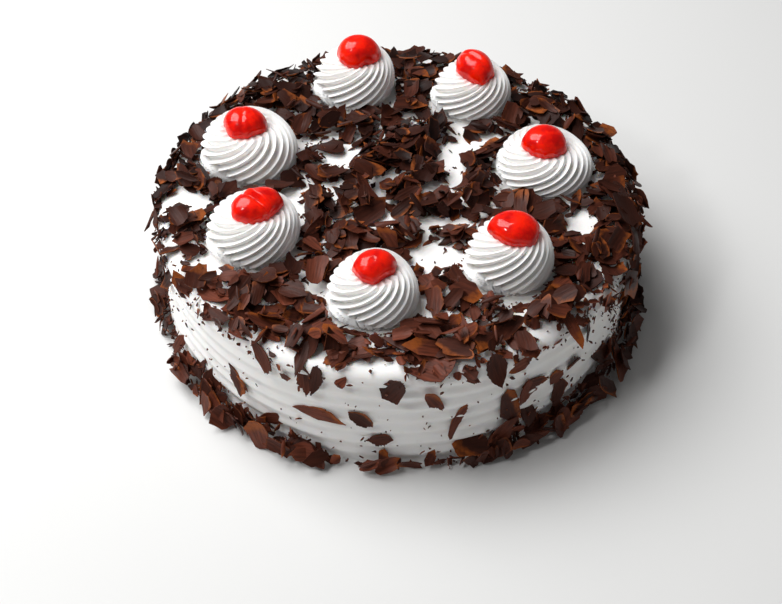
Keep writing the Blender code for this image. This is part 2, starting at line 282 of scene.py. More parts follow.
scraped = {"Value": lines, "From Min": 0.35, "From Max": 0.70, "To Max": 0.65}
line_share = add_node(tree, "ShaderNodeMapRange", scraped).outputs["Result"]
colours = {"Factor": line_share, "A": body_colour, "B": linear("#27130E")}
lined_colour = add_node(tree, "ShaderNodeMix", colours, data_type="RGBA").outputs["Result"]
# Painted light: where the glow attribute is high, made patchy by the mottle, the colour turns orange-brown,
# as the light that thin chocolate lets through.
ragged = add_node(tree, "ShaderNodeMath", {0: thin, 1: mottle}, operation="MULTIPLY").outputs["Value"]
clear = {"Value": ragged, "From Min": 0.22, "From Max": 0.55, "To Max": 0.95}
painted_glow_share = add_node(tree, "ShaderNodeMapRange", clear).outputs["Result"]
colours = {"Factor": painted_glow_share, "A": lined_colour, "B": linear("#8F4A1E")}
chocolate_colour = add_node(tree, "ShaderNodeMix", colours, data_type="RGBA")
dullness = add_node(tree, "ShaderNodeMapRange", {"Value": mottle, "To Min": 0.26, "To Max": 0.64})
line_bump = add_node(tree, "ShaderNodeBump", {"Height": lines, "Strength": 0.8, "Distance": 0.3 * MM})
# Cocoa butter has an IOR of 1.46, and the scraped faces lose most of their gloss in the scratches.
surface = {
    "Base Color": chocolate_colour.outputs["Result"],
    "Roughness": dullness.outputs["Result"],
    "Normal": line_bump.outputs["Normal"],
    "IOR": 1.46,
    "Specular IOR Level": 0.15,
}
feed(tree, shader, surface)
print("material:", chocolate.name)

# %% [markdown]
# A glace cherry has been soaked in syrup until sugar has replaced its water. The flesh is a clear strong
# red that light passes through, and the skin is wet, so it has a sharp coat over a softer body. Fine
# wrinkles break up the reflection.

# %% Glace cherry in syrup
FLESH_PATCH = 6 * MM
WRINKLE_SIZE = 2.2 * MM

glace, tree, shader = new_material("glace_cherry_in_syrup")
place = add_node(tree, "ShaderNodeNewGeometry", {}).outputs["Position"]
flesh = add_node(tree, "ShaderNodeTexNoise", {"Vector": place, "Scale": 1 / FLESH_PATCH, "Detail": 3.0})
uneven = {"Value": flesh.outputs["Fac"], "From Min": 0.35, "From Max": 0.62}
ripe = add_node(tree, "ShaderNodeMapRange", uneven)
colours = {"Factor": ripe.outputs["Result"], "A": linear("#C60300"), "B": linear("#FF1E00")}
tint = add_node(tree, "ShaderNodeMix", colours, data_type="RGBA")
wrinkles = add_node(tree, "ShaderNodeTexNoise", {"Vector": place, "Scale": 1 / WRINKLE_SIZE, "Detail": 2.0})
skin = {"Height": wrinkles.outputs["Fac"], "Strength": 0.3, "Distance": 0.4 * MM}
# The wet skin is the coat. The flesh under it hardly shines, and red light runs 8 mm through it.
surface = {
    "Base Color": tint.outputs["Result"],
    "Roughness": 0.35,
    "Normal": add_node(tree, "ShaderNodeBump", skin).outputs["Normal"],
    "IOR": 1.45,
    "Specular IOR Level": 0.08,
    "Coat Weight": 0.55,
    "Coat Roughness": 0.03,
    "Subsurface Weight": 0.8,
    "Subsurface Radius": (1.0, 0.10, 0.04),
    "Subsurface Scale": 8 * MM,
}
feed(tree, shader, surface)
print("material:", glace.name)

# %% [markdown]
# The cream's outline is flat on top, bends over a small shoulder and drops straight down the side.
# Everything strewn on the cake is placed by how far it lies along that outline from the middle, and by its
# angle round the cake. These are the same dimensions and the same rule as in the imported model.

# %% The cream's outline
CAKE_RADIUS = 115 * MM
CAKE_HEIGHT = 61 * MM
SHOULDER_RADIUS = 7 * MM
FLAT_RUN = CAKE_RADIUS - SHOULDER_RADIUS
SHOULDER_RUN = SHOULDER_RADIUS * math.pi / 2
WHOLE_RUN = FLAT_RUN + SHOULDER_RUN + CAKE_HEIGHT - SHOULDER_RADIUS
COMB_PITCH = 8 * MM
COMB_DEPTH = 1.3 * MM
FIRST_GROOVE = CAKE_HEIGHT - SHOULDER_RADIUS - COMB_PITCH / 4


def on_circle(angle_degrees, radius):
    angle = math.radians(angle_degrees)
    return Vector((radius * math.cos(angle), radius * math.sin(angle), 0.0))


def place_on_cream(along, angle_degrees):
    """Point, outward normal and downhill direction where the outline has run `along` from the middle."""
    out = on_circle(angle_degrees, 1.0)
    if along <= FLAT_RUN:
        bend = 0.0
        point = out * along + Vector((0, 0, CAKE_HEIGHT))
    elif along <= FLAT_RUN + SHOULDER_RUN:
        bend = (along - FLAT_RUN) / SHOULDER_RADIUS
        point = out * (FLAT_RUN + SHOULDER_RADIUS * math.sin(bend))
        point.z = CAKE_HEIGHT - SHOULDER_RADIUS * (1 - math.cos(bend))
    else:
        bend = math.pi / 2
        point = out * CAKE_RADIUS
        point.z = WHOLE_RUN - along
    up = Vector((0, 0, 1))
    normal = out * math.sin(bend) + up * math.cos(bend)
    downhill = out * math.cos(bend) - up * math.sin(bend)
    return point, normal, downhill


print("outline runs", round(WHOLE_RUN / MM, 1), "mm from the middle of the top to the foot")

# %% [markdown]
# The cream could be a turned profile with a displacement modifier, but the comb's ridges waver and fade
# along their way round, so the surface is written as one function of place: rows run down the outline,
# columns run round the cake, and the relief pushes each point in or out along its normal.

# %% Cream body
COLUMNS = 380
TOP_ROWS = 40
SHOULDER_ROWS = 8
SIDE_ROWS = 84
WAVER = 0.7 * MM
UNEVEN = 0.45 * MM
FOOT_TUCK = 1.2 * MM
# Edges of the soft pieces stay smooth up to this many degrees.
SOFT_EDGE = 60


def cream_relief(along, angle):
    """How far the cream stands out from its plain outline, for arrays of places."""
    height = WHOLE_RUN - along
    waver = WAVER * (np.sin(3 * angle + 0.6) + 0.6 * np.sin(7 * angle + height / (9 * MM)))
    ridge = 0.5 + 0.5 * np.cos(TURN * (height - FIRST_GROOVE + waver) / COMB_PITCH)
    strength = 0.75 + 0.25 * np.sin(5 * angle + height / (14 * MM))
    on_side = np.clip((along - FLAT_RUN - 0.6 * SHOULDER_RUN) / (5 * MM), 0, 1)
    combed = -COMB_DEPTH * ridge**0.8 * strength * on_side
    uneven = UNEVEN * np.sin(2 * angle + along / (23 * MM)) * np.sin(5 * angle - along / (17 * MM) + 1.0)
    tuck = -FOOT_TUCK * np.clip((along - WHOLE_RUN + 4 * MM) / (4 * MM), 0, 1)
    return combed + uneven + tuck


def turned_rows():
    top = np.linspace(0.5 * MM, FLAT_RUN, TOP_ROWS, endpoint=False)
    shoulder = FLAT_RUN + np.linspace(0, SHOULDER_RUN, SHOULDER_ROWS, endpoint=False)
    side = np.linspace(FLAT_RUN + SHOULDER_RUN, WHOLE_RUN, SIDE_ROWS)
    return np.concatenate([top, shoulder, side])


def closed_faces(rings, around):
    """Faces of rings of points, from the top ring down, that two more points close: the middles of the first
    ring and of the last one."""
    row, column = np.meshgrid(np.arange(rings - 1), np.arange(around), indexing="ij")
    after = (column + 1) % around
    first = row * around
    corners = [first + column, first + around + column, first + around + after, first + after]
    sides = np.stack(corners, -1).reshape(-1, 4).tolist()
    top_ring = np.arange(around)
    foot_ring = top_ring + around * (rings - 1)
    top = [(a, b, rings * around) for a, b in zip(top_ring, np.roll(top_ring, -1))]
    foot = [(rings * around + 1, b, a) for a, b in zip(foot_ring, np.roll(foot_ring, -1))]
    return sides + top + foot


rows = turned_rows()
columns = np.linspace(0, TURN, COLUMNS, endpoint=False)
along_grid, angle_grid = np.meshgrid(rows, columns, indexing="ij")
bend = np.clip((along_grid - FLAT_RUN) / SHOULDER_RADIUS, 0, math.pi / 2)
past_shoulder = np.clip(along_grid - FLAT_RUN - SHOULDER_RUN, 0, None)
radius = np.minimum(along_grid, FLAT_RUN) + SHOULDER_RADIUS * np.sin(bend)
height = CAKE_HEIGHT - SHOULDER_RADIUS * (1 - np.cos(bend)) - past_shoulder
relief = cream_relief(along_grid, angle_grid)
radius = radius + relief * np.sin(bend)
height = np.maximum(height + relief * np.cos(bend), 0.0)
height[-1] = 0.0
points = np.stack([radius * np.cos(angle_grid), radius * np.sin(angle_grid), height], -1).reshape(-1, 3)
points = np.vstack([points, (0, 0, CAKE_HEIGHT), (0, 0, 0)])
faces = closed_faces(len(rows), COLUMNS)
cream_body = new_piece("cream_body", points, faces, cream_smooth, SOFT_EDGE)
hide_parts("cake")

# %% [markdown]
# A rosette is piped through a star nozzle that circles once and is lifted away, so its ridges lean round
# like a turban's folds. Stacked rings of points make it: each ring is turned a little from the one below,
# so that the columns of points run along the ridges, which are soft and round as cream is. Low on one side
# the end of the first circle shows under the last one: there the ridges run the other way, nearly level,
# and a crease parts the two. The seat is where the cherry lies.

# %% Piped rosettes
ROSETTE_TEETH = 18
POINTS_PER_TOOTH = 12
ROSETTE_TWIST = math.radians(115)
# Two powers: the twist grows a little faster towards the tip, and the ridges between the grooves have round
# crests.
TWIST_EASE = 1.15
RIDGE_ROUNDING = 1.5
ROSETTE_WOBBLE = 0.35 * MM
# The seam: its height as a share of the rosette's, its half width in radians, its crease's depth and the
# crease's half width as a share of the height, how far the cream below it stands out, and how far the ridges
# there lean back.
SEAM_HEIGHT = 0.40
SEAM_HALF_WIDTH = 0.75
SEAM_DEPTH = 0.9 * MM
SEAM_CREASE = 0.04
SEAM_STEP = 0.8 * MM
SEAM_LEAN = 1.2
# The outline from the foot up to the seat's edge: shares of the height, shares of the radius, and the depth
# of the grooves there, as shares of the radius too.
OUTLINE_HEIGHTS = (0.0, 0.12, 0.32, 0.55, 0.77, 0.94, 1.0)
OUTLINE_REACHES = (0.85, 0.97, 1.0, 0.95, 0.84, 0.68, 0.53)
GROOVE_DEPTHS = (0.08, 0.11, 0.135, 0.145, 0.14, 0.115, 0.05)
SEAT_DIP = 1.2 * MM
OUTLINE_RINGS = 48
SEAT_RINGS = (0.85, 0.65, 0.35)
# The foot reaches a little into the cream that it was piped on.
FOOT_SINK = 1.0 * MM
JUICE_REACH = 3 * MM
JUICE_STRENGTH = 0.7
# For each rosette: where round it the first circle's end shows, in degrees.
ROSETTES = {
    "back_left": -150,
    "back_right": -170,
    "right": 170,
    "right_front": -140,
    "front": -135,
    "left_front": -140,
    "left_back": -145,
}


def smooth_outline(count):
    """Evenly spaced points of a smooth curve through the outline, and how far along it each one lies."""
    corners = np.stack([OUTLINE_HEIGHTS, OUTLINE_REACHES, GROOVE_DEPTHS], -1)
    step = np.concatenate([[0], np.cumsum(np.hypot(np.diff(corners[:, 0]), np.diff(corners[:, 1])))])
    at = np.linspace(0, step[-1], count)
    padded = np.vstack([2 * corners[0] - corners[1], corners, 2 * corners[-1] - corners[-2]])
    rows = []
    for value in at:
        i = min(np.searchsorted(step, value, side="right") - 1, len(step) - 2)
        t = (value - step[i]) / (step[i + 1] - step[i])
        before, start, end, later = padded[i : i + 4]
        rows.append(
            0.5
            * (
                2 * start
                + (end - before) * t
                + (2 * before - 5 * start + 4 * end - later) * t**2
                + (3 * start - before - 3 * end + later) * t**3
            )
        )
    return np.array(rows), at / step[-1]


def rosette_points(name, back_angle):
    low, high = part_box(f"rosette_{name}")
    cherry_low, cherry_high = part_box(f"cherry_{name}")
    middle = np.array([(low.x + high.x) / 2, (low.y + high.y) / 2])
    seat = np.array([(cherry_low.x + cherry_high.x) / 2, (cherry_low.y + cherry_high.y) / 2])
    size = (high.x - low.x) / 2
    tall = high.z - low.z
    outline, share = smooth_outline(OUTLINE_RINGS)
    column = np.linspace(0, TURN, ROSETTE_TEETH * POINTS_PER_TOOTH, endpoint=False)[None, :]
    up = outline[:, 0:1]
    out = outline[:, 1:2] * size
    depth = outline[:, 2:3] * size
    # The profile's outward direction, which the grooves are cut against.
    slope = np.gradient(outline[:, 0] * tall), np.gradient(outline[:, 1] * size)
    length = np.hypot(*slope)
    normal_out = (slope[0] / length)[:, None]
    normal_up = (-slope[1] / length)[:, None]
    share = share[:, None]
    twist = ROSETTE_TWIST * share**TWIST_EASE
    round_it = column + twist
    away = np.angle(np.exp(1j * (round_it - math.radians(back_angle))))
    seam = SEAM_HEIGHT * np.exp(-((away / SEAM_HALF_WIDTH) ** 2)) + 0.03 * np.sin(3 * round_it)
    seam = np.clip(seam, 0, 1)
    # Below the seam the ridges lean the other way, so the angle that counts them runs back.
    below = (1 + SEAM_LEAN) * np.clip(ROSETTE_TWIST * seam**TWIST_EASE - twist, 0, None)
    tooth = ROSETTE_TEETH * (column - below) / TURN
    uneven = 1 + 0.16 * np.sin(2 * column + size / MM) + 0.14 * np.sin(5 * column + 1.7 * tall / MM)
    groove = depth * uneven * np.abs(np.sin(math.pi * tooth)) ** RIDGE_ROUNDING
    showing = np.clip((seam - 0.06) / 0.10, 0, 1)
    crease = SEAM_DEPTH * np.exp(-(((share - seam) / SEAM_CREASE) ** 2)) * showing
    under = SEAM_STEP * (share < seam) * showing
    wobble = ROSETTE_WOBBLE * np.sin(3 * round_it + 2.0 * size / MM)
    push = wobble + under - groove - crease
    reach = out + push * normal_out
    rise = up * tall + push * normal_up
    lean = up**2
    x = middle[0] + (seat[0] - middle[0]) * lean + reach * np.cos(round_it)
    y = middle[1] + (seat[1] - middle[1]) * lean + reach * np.sin(round_it)
    body = np.stack([x, y, low.z + rise], -1)
    # Inside the edge the cream falls a little towards the middle of the seat.
    seat_rings = []
    for inward in SEAT_RINGS:
        ring = body[-1].copy()
        centre = np.array([seat[0], seat[1], 0])
        ring[:, :2] = centre[:2] + (ring[:, :2] - centre[:2]) * inward
        ring[:, 2] = low.z + tall - SEAT_DIP * (1 - inward**2) + (ring[:, 2] - low.z - tall) * inward
        seat_rings.append(ring)
    body = np.concatenate([body, np.array(seat_rings)])
    body[0, :, 2] = low.z - FOOT_SINK
    # The rings were built upwards, and are handed on from the seat down.
    return body[::-1], seat, low, tall


def juice_share(body, seat, name):
    """How much cherry juice has bled into each point: most at the cherry's edge, fading away from it."""
    cherry_low, cherry_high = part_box(f"cherry_{name}")
    reach = np.array([cherry_high.x - cherry_low.x, cherry_high.y - cherry_low.y]) / 2
    from_seat = body[..., :2] - seat
    away = (np.hypot(from_seat[..., 0] / reach[0], from_seat[..., 1] / reach[1]) - 1) * reach.mean()
    side = np.arctan2(from_seat[..., 1], from_seat[..., 0])
    bled = 0.65 + 0.35 * np.sin(2 * side + seat[0] / MM) * np.sin(3 * side + seat[1] / MM)
    return JUICE_STRENGTH * np.clip(1 - away / JUICE_REACH, 0, 1) ** 1.5 * bled


for name, back_angle in ROSETTES.items():
    body, seat, low, tall = rosette_points(name, back_angle)
    seat_middle = (seat[0], seat[1], low.z + tall - SEAT_DIP)
    foot_middle = (*body[-1].mean(0)[:2], low.z - FOOT_SINK)
    points = np.vstack([body.reshape(-1, 3), seat_middle, foot_middle])
    faces = closed_faces(*body.shape[:2])
    bled = [("juice", np.concatenate([juice_share(body, seat, name).ravel(), [1.0, 0.0]]))]
    piped = new_piece(f"piped_rosette_{name}", points, faces, cream_piped, SOFT_EDGE, bled)
    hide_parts(f"rosette_{name}")

# %% [markdown]
# Half a glace cherry lies cut side down. No two are alike: they are oval, dented, and their cut edge is
# ragged where the knife dragged the soft flesh. A dome of rings is bent out of true by a few low waves, its
# lowest ring is made ragged, and one cherry has a deep fold across it.

# %% Glace cherries
# Width, depth and height in millimetres, turn in degrees, the depth of a fold across the top in millimetres,
# and the notches in the cut edge: angle and half width in degrees, and the depth as a share of the radius.
CHERRIES = {
    "back_left": (22.0, 20.0, 11.5, 10, 0.0, ((-60, 18, 0.10), (-150, 25, 0.08))),
    "back_right": (18.0, 23.5, 11.0, 25, 0.8, ((-120, 25, 0.14), (-40, 20, 0.10))),
    "right": (21.5, 20.0, 10.0, 0, 0.0, ((-140, 20, 0.06), (-75, 14, 0.05))),
    "right_front": (24.0, 19.5, 9.5, -10, 0.0, ((-88, 14, 0.10), (-145, 22, 0.12), (-30, 18, 0.08))),
    "front": (20.5, 16.8, 9.0, 35, 0.0, ((-48, 20, 0.17), (-140, 24, 0.14))),
    "left_front": (26.5, 18.5, 9.0, 30, 2.4, ((-40, 20, 0.12), (-165, 20, 0.12), (150, 20, 0.1))),
    "left_back": (22.0, 19.0, 9.5, -15, 0.4, ((-60, 20, 0.06), (-160, 24, 0.12))),
}
CHERRY_ROWS = 30
CHERRY_COLUMNS = 84
# The rings run over the dome, widest at 1, and on under the cut edge to this share.
CUT_EDGE = 1.15
# How deep the cherry has sunk into its seat, in millimetres.
SUNK = 0.6
# Each cherry has a shallow dent near the top: its depth and how far from the middle it lies, in millimetres,
# and how wide it spreads, in square millimetres.
DENT_DEPTH = 0.5
DENT_AWAY = 2.5
DENT_SPREAD = 6
# A fold is a groove with a swelling beside it. It runs a little aslant, and the swelling has a share of its
# depth.
FOLD_SLANT = 0.35
FOLD_SWELLING = 0.35


def cherry_points(name, sizes):
    width, depth, dome, turn, fold, notches = sizes
    low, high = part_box(f"cherry_{name}")
    centre = (low + high) / 2
    draw = random.Random(name)
    phases = [draw.uniform(0, TURN) for _ in range(5)]
    share = np.linspace(0.02, CUT_EDGE, CHERRY_ROWS)[:, None]
    round_it = np.linspace(0, TURN, CHERRY_COLUMNS, endpoint=False)[None, :]
    reach = np.sin(np.minimum(share, 1) * math.pi / 2) ** 0.92
    reach = reach - np.clip(share - 1, 0, None) * 1.6
    low_down = np.clip(share - 0.5, 0, 0.5) / 0.5
    waves = 0.03 * np.sin(2 * round_it + phases[0]) + 0.025 * np.sin(3 * round_it + phases[1])
    ragged = 0.022 * np.sin(7 * round_it + phases[2]) + 0.015 * np.sin(11 * round_it + phases[3])
    for angle, half_width, notch in notches:
        away = np.angle(np.exp(1j * (round_it + math.radians(turn - angle))))
        ragged = ragged - notch * np.exp(-((away / math.radians(half_width)) ** 2))
    reach = reach * (1 + waves * share + ragged * low_down**1.5)
    rise = np.cos(np.minimum(share, 1) * math.pi / 2) ** 0.85
    x = reach * np.cos(round_it) * width / 2
    y = reach * np.sin(round_it) * depth / 2
    z = rise * dome - np.clip(share - 1, 0, None) * 4
    z = z + 0.3 * np.sin(3 * round_it + phases[4]) * low_down
    dent_x = DENT_AWAY * np.cos(phases[0])
    dent_y = DENT_AWAY * np.sin(phases[0])
    z = z - DENT_DEPTH * np.exp(-((x - dent_x) ** 2 + (y - dent_y) ** 2) / DENT_SPREAD)
    across_fold = x + FOLD_SLANT * y
    z = z - fold * np.exp(-(((across_fold + 0.8) / 1.3) ** 2)) * rise
    z = z + FOLD_SWELLING * fold * np.exp(-(((across_fold - 1.6) / 1.4) ** 2)) * rise
    turn = math.radians(turn)
    placed = np.stack(
        [
            centre.x + (x * math.cos(turn) - y * math.sin(turn)) * MM,
            centre.y + (x * math.sin(turn) + y * math.cos(turn)) * MM,
            low.z + (z - SUNK) * MM,
        ],
        -1,
    )
    return placed.reshape(-1, 3)


for name, sizes in CHERRIES.items():
    points = cherry_points(name, sizes)
    points = np.vstack([points, points[:CHERRY_COLUMNS].mean(0), points[-CHERRY_COLUMNS:].mean(0)])
    faces = closed_faces(CHERRY_ROWS, CHERRY_COLUMNS)
    cherry = new_piece(f"glace_cherry_{name}", points, faces, glace, SOFT_EDGE)
    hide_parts(f"cherry_{name}")

# %% [markdown]
# Strewn shavings lie on each other, not in each other. A physics simulation of thousands of chips would be
# slow and would let them slide off, while the real ones stick to the cream. So space is divided into cells
# of one millimetre. The cream, the rosettes and the ground fill theirs first. Each new shaving is laid on
# the highest filled cells under it, tilted as they slope, and then fills its own.

# %% Cells that are already filled
CELL = 1.0 * MM
LOW_CORNER = np.array([-140, -140, -3]) * MM
GRID = (280, 280, 112)
PILE_LIMIT = 10 * MM
# The steps along a normal, out from the cream, in which the heap's height is looked for.
MARCH = np.arange(-1.0, 12.0, 0.5) * MM
NOTHING_THERE = -1.0

cell_x, cell_y, cell_z = [LOW_CORNER[i] + (np.arange(GRID[i]) + 0.5) * CELL for i in range(3)]
flat_distance = np.hypot(*np.meshgrid(cell_x, cell_y, indexing="ij"))
into_shoulder = np.clip(cell_z - (CAKE_HEIGHT - SHOULDER_RADIUS), 0, SHOULDER_RADIUS)
cream_reach = FLAT_RUN + np.sqrt(SHOULDER_RADIUS**2 - into_shoulder**2)
filled = (flat_distance[:, :, None] < cream_reach[None, None, :]) & (cell_z < CAKE_HEIGHT)[None, None, :]
filled |= (cell_z < 0)[None, None, :]
in_rosette = np.zeros(GRID, dtype=bool)
# Cells that belong to the large shavings listed one by one, whose faces are kept clean.
in_chosen = np.zeros(GRID, dtype=bool)
# The middle and radius of each rosette, seen from above.
ROSETTE_PLACES = []
for name in ROSETTES:
    low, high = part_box(f"rosette_{name}")
    middle, radius = ((low + high) / 2).to_2d(), (high.x - low.x) / 2
    ROSETTE_PLACES.append((middle, radius))
    away = np.hypot(*np.meshgrid(cell_x - middle.x, cell_y - middle.y, indexing="ij"))
    share_up = (cell_z - low.z) / (high.z - low.z)
    reach = np.interp(share_up, OUTLINE_HEIGHTS, OUTLINE_REACHES, right=0) * radius
    in_rosette |= (away[:, :, None] < reach[None, None, :]) & (cell_z > low.z - CELL)[None, None, :]
filled |= in_rosette


def cells_of(points):
    index = ((points - LOW_CORNER) / CELL).astype(int)
    index = np.clip(index, 0, np.array(GRID) - 1)
    return index[..., 0], index[..., 1], index[..., 2]


def pile_height(points, normal):
    """How far out along the normal the highest filled cell over each point is, or NOTHING_THERE."""
    column = points[:, None, :] + normal * MARCH[None, :, None]
    full = filled[cells_of(column)]
    return np.where(full, MARCH[None, :] + CELL / 2, NOTHING_THERE).max(axis=1)


print("filled cells:", int(filled.sum()), "of which rosettes:", int(in_rosette.sum()))

# %% [markdown]
# One shaving is a thin closed plate. Its outline runs straight between a few broken corners. The side where
# the blade cut stays clean, and the opposite side tears into small teeth. Rings of points run in from the
# outline to the middle on both faces, so that the plate can curl up along its length, roll across its width
# like a scroll, and thin out at its edge. Thin chocolate lets light through, and that light is painted into
# the colour: an attribute says where this painted glow goes, near the edge and over one side of some
# shavings. The same function makes every size, with fewer points for the small ones.

# %% The shape of one shaving
CORNER_SHIFT = 0.28
CORNER_RANGE = (0.58, 1.15)
POINTING = 0.45
EDGE_THINNING = 0.45
# A tooth goes in by this share, and every other point out by a quarter of it, each with some stray. The
# clean side has teeth too, but only with a share of their depth.
TOOTH = 0.6
TOOTH_STRAY = (-0.8, 0.5)
CLEAN_SHARE = 0.2
# How far a plate ripples at most, as a share of its length, and the roll that the flattest one still has.
MOST_RIPPLE = 0.03
LEAST_ROLL = 0.05
# How much painted glow the thin edge gets at most, in place of the light it lets through.
EDGE_PAINTED_GLOW = 0.6
# How strongly a painted glow covers the clear side of a shaving, in place of the light it lets through, and
# how seldom.
PAINTED_GLOW = 1.9
PAINTED_GLOW_RARITY = 2.4


def broken_outline(draw, corners, count, jag, pointed):
    """An outline in shares of half the length and width. Pointed 1 draws its ends out to tips."""
    angles = [TURN * (i + draw.uniform(-CORNER_SHIFT, CORNER_SHIFT)) / corners for i in range(corners)]
    reaches = [draw.uniform(*CORNER_RANGE) for _ in range(corners)]
    reaches = [r * (1 - POINTING * pointed * abs(math.sin(a)) ** 0.5) for r, a in zip(reaches, angles)]
    # Some pieces break nearly square.
    square = draw.uniform(0, 1)
    reaches = [r / max(abs(math.cos(a)), abs(math.sin(a))) ** square for r, a in zip(reaches, angles)]
    return torn_edge(draw, angles, reaches, count, jag)


def torn_edge(draw, angles, reaches, count, jag):
    """Points along straight breaks between the corners, with teeth on the side that tore."""
    corners = [(r * math.cos(a), r * math.sin(a)) for a, r in zip(angles, reaches)]
    torn_side = draw.uniform(0, TURN)
    edge = []
    for i in range(count):
        at = i * len(corners) / count
        first = corners[int(at)]
        second = corners[(int(at) + 1) % len(corners)]
        t = at - int(at)
        torn = CLEAN_SHARE + (1 - CLEAN_SHARE) * max(0.0, math.cos(TURN * i / count - torn_side))
        tooth = -TOOTH if i % 2 else 0.25 * TOOTH
        push = 1 + jag * torn * (tooth + draw.uniform(*TOOTH_STRAY))
        edge.append([(a * (1 - t) + b * t) * push for a, b in zip(first, second)])
    return np.array(edge)


def plate(draw, edge, rings, length, width, thickness, curl, roll):
    """Points of one shaving, upper face first, then how much painted glow each gets, and its place in the
    grain.
    """
    shares = np.linspace(0, 1, rings + 1)[1:] ** 0.85
    flat = np.vstack([[(0.0, 0.0)], (edge[None, :, :] * shares[:, None, None]).reshape(-1, 2)])
    share = np.concatenate([[0.0], np.repeat(shares, len(edge))])
    u = flat[:, 0] * length / 2
    v = flat[:, 1] * width / 2
    phase = draw.uniform(0, TURN)
    ripple = draw.uniform(0.0, MOST_RIPPLE) * length
    lift = curl * (2 * u / length) ** 2
    lift = lift + ripple * np.sin(phase + 5 * u / length) * np.cos(phase + 4 * v / width)
    bend_radius = width / 2 / max(roll, LEAST_ROLL)
    lift = lift + bend_radius * (1 - np.cos(v / bend_radius))
    half = 0.5 * thickness * (1 - EDGE_THINNING * share**2)
    v_bent = bend_radius * np.sin(v / bend_radius)
    upper = np.stack([u, v_bent, lift + half], -1)
    lower = np.stack([u, v_bent, lift - half], -1)
    towards = flat[:, 0] * math.cos(phase) + flat[:, 1] * math.sin(phase)
    # The painted glow: near the edge at random, and over one side of a few shavings.
    one_side = np.clip((towards + 0.1) / 0.9, 0, 1) * PAINTED_GLOW * draw.random() ** PAINTED_GLOW_RARITY
    thin = np.clip(draw.uniform(0.0, EDGE_PAINTED_GLOW) * share**5 + one_side, 0, 1)
    grain = np.stack([u, v, np.full_like(u, phase * 7 * MM)], -1)
    return np.vstack([upper, lower]), np.tile(thin, 2), np.vstack([grain, grain])


def plate_faces(sides, rings):
    """Triangles of a plate: a fan, bands to the edge, the same below turned over, and the broken edge."""
    per_face = 1 + sides * rings
    faces = []
    for under in (0, per_face):
        face = []
        for i in range(sides):
            j = (i + 1) % sides
            face.append((under, under + 1 + i, under + 1 + j))
            for ring in range(1, rings):
                a, b = under + 1 + sides * (ring - 1), under + 1 + sides * ring
                face.append((a + i, b + i, b + j))
                face.append((a + i, b + j, a + j))
        faces += [tuple(reversed(triangle)) for triangle in face] if under else face
    rim = 1 + sides * (rings - 1)
    for i in range(sides):
        j = (i + 1) % sides
        faces.append((rim + i, per_face + rim + i, per_face + rim + j))
        faces.append((rim + i, per_face + rim + j, rim + j))
    return np.array(faces)


LARGE_GRID = (40, 4)
CRUMB_GRID = (5, 1)
for sort, grid in (("a large shaving", LARGE_GRID), ("a crumb", CRUMB_GRID)):
    print("triangles in", sort, len(plate_faces(*grid)))

# %% [markdown]
# Every kind of shaving is gathered into one mesh, because thousands of objects would be slow to draw and
# heavy to hand on. The heap class keeps the arrays of one kind until they are joined.

# %% Heaps
OFF_GROUND = 0.2 * MM
BROKEN_EDGE = 50
# How brown shavings can be anywhere, the painted light that the front rim adds to that, and the least painted
# light there.
PLAIN_BROWN = 0.65
FRONT_PAINTED_LIGHT = 0.62
FRONT_PAINTED_LIGHT_LEAST = 0.27
# How far from its middle a shaving fills cells, in shares of its length and width, and the square of how far
# towards its corners.
FILL_SHARE = 0.46
FILL_ROUND = 0.22


def carried(points, matrix):
    """An array of points, carried from a shaving's own axes to the cake's."""
    return points @ np.array(matrix.to_3x3()).T + np.array(matrix.translation)


class Heap:
    """Shavings of one kind, joined into one mesh at the end."""

    def __init__(self, sides, rings):
        self.sides = sides
        self.rings = rings
        self.faces_of_one = plate_faces(sides, rings)
        self.points, self.thins, self.grains, self.tones = [], [], [], []

    def add(self, matrix, shape, tone):
        local, thin, grain = shape
        placed = carried(local, matrix)
        placed[:, 2] += max(0.0, OFF_GROUND - placed[:, 2].min())
        self.points.append(placed)
        self.thins.append(thin)
        self.grains.append(grain)
        self.tones.append(np.full(len(placed), tone))

    def join(self, name):
        size = len(self.points[0])
        count = len(self.points)
        faces = np.concatenate([self.faces_of_one + i * size for i in range(count)])
        attributes = [
            ("thin", np.concatenate(self.thins)),
            ("tone", np.concatenate(self.tones)),
            ("grain", np.concatenate(self.grains)),
        ]
        points = np.concatenate(self.points)
        piece = new_piece(name, points, faces.tolist(), chocolate, BROKEN_EDGE, attributes)
        print(f"{name}: {count} shavings, {len(faces)} triangles")
        return piece


def tone_with_painted_front_light(draw, point):
    """How brown a shaving is: a random tone, lightened towards the front rim by painted light, and darkest
    behind.
    """
    forward = min(max((-point[1] / CAKE_RADIUS + 0.2) / 1.2, 0.0), 1.0)
    brown = draw.betavariate(1.0, 2.0) * (PLAIN_BROWN + FRONT_PAINTED_LIGHT * forward)
    return min(brown + FRONT_PAINTED_LIGHT_LEAST * forward, 1.0)


def fill_cells(matrix, length, width, chosen=False):
    """Marks the cells that a shaving takes, by an even spread of points over it."""
    steps_u = max(2, int(length / CELL) + 1)
    steps_v = max(2, int(width / CELL) + 1)
    shares_u = np.linspace(-FILL_SHARE, FILL_SHARE, steps_u)
    shares_v = np.linspace(-FILL_SHARE, FILL_SHARE, steps_v)
    u, v = np.meshgrid(shares_u, shares_v)
    inside = (u**2 + v**2) < FILL_ROUND
    u, v = u[inside] * length, v[inside] * width
    cells = cells_of(carried(np.stack([u, v, np.zeros_like(u)], -1), matrix))
    filled[cells] = True
    in_chosen[cells] = chosen
